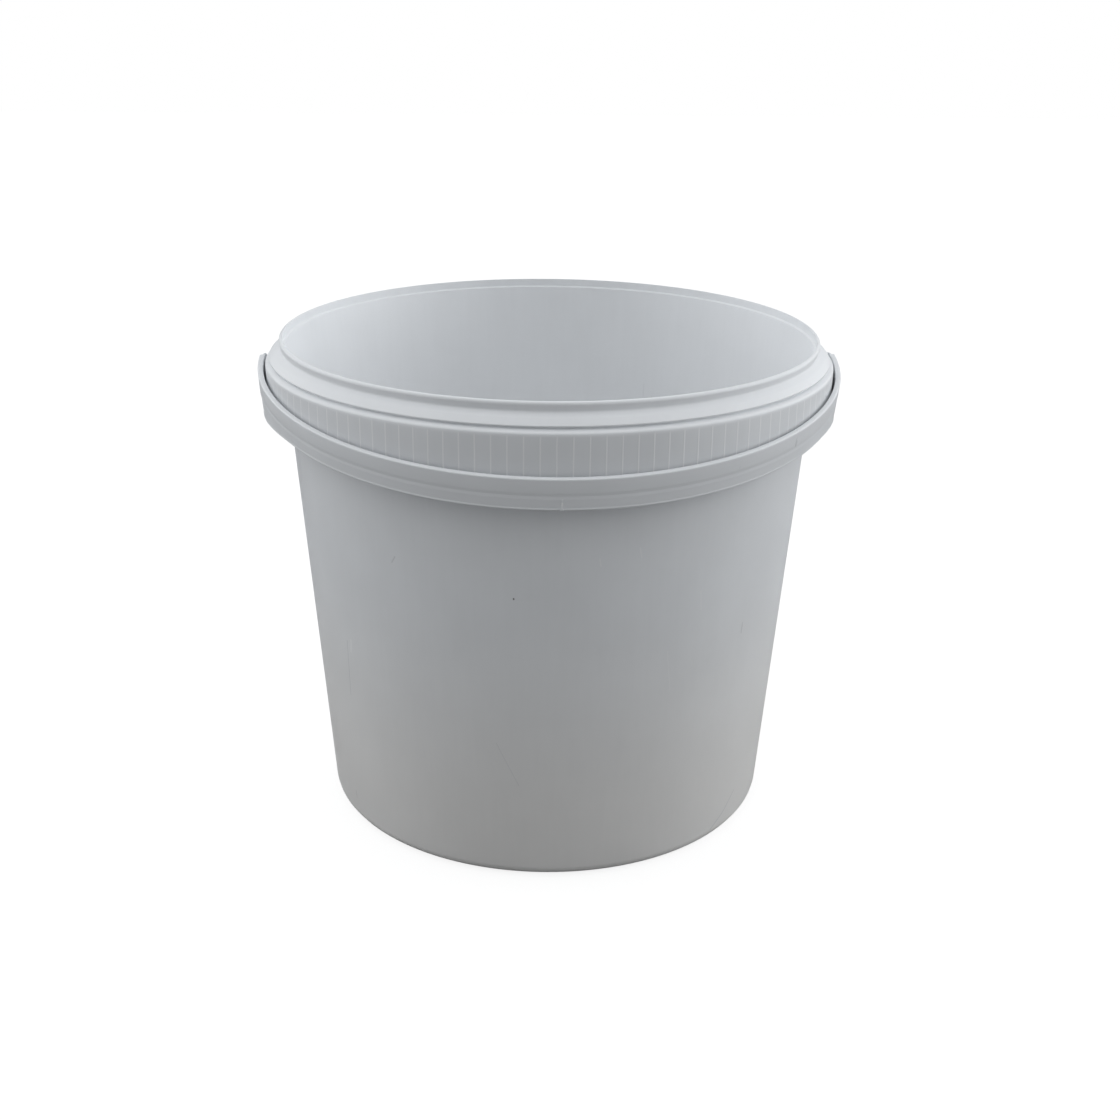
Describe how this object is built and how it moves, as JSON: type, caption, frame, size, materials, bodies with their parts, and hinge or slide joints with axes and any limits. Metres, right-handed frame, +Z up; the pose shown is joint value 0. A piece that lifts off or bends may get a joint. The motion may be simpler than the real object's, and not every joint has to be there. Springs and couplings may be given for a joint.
{
  "type": "plastic bucket",
  "caption": "Open round tapered plastic bucket with a stepped, ribbed rim and a curved plastic bail handle that swings over the top.",
  "frame": {"origin": "on the bucket's own axis, on the floor plane that its foot ring stands on", "axes": "+Z up along the bucket's axis, -Y towards the resting handle's middle, X through the two handle pins"},
  "size_m": [0.2326, 0.2292, 0.196],
  "materials": {
    "bucket_plastic": "satin moulded polypropylene, cool white, lightly scuffed",
    "handle_plastic": "satin moulded polypropylene, cool white"
  },
  "bodies": {
    "bucket": {"bucket": "bucket_plastic"},
    "bail": {"bail_handle": "handle_plastic"}
  },
  "joints": [
    {"name": "bail_swing", "type": "hinge", "parent": "bucket", "child": "bail", "pos_m": [0, 0, 0.1769], "axis": [-1, 0, 0], "range_deg": [0, 194.7]}
  ]
}
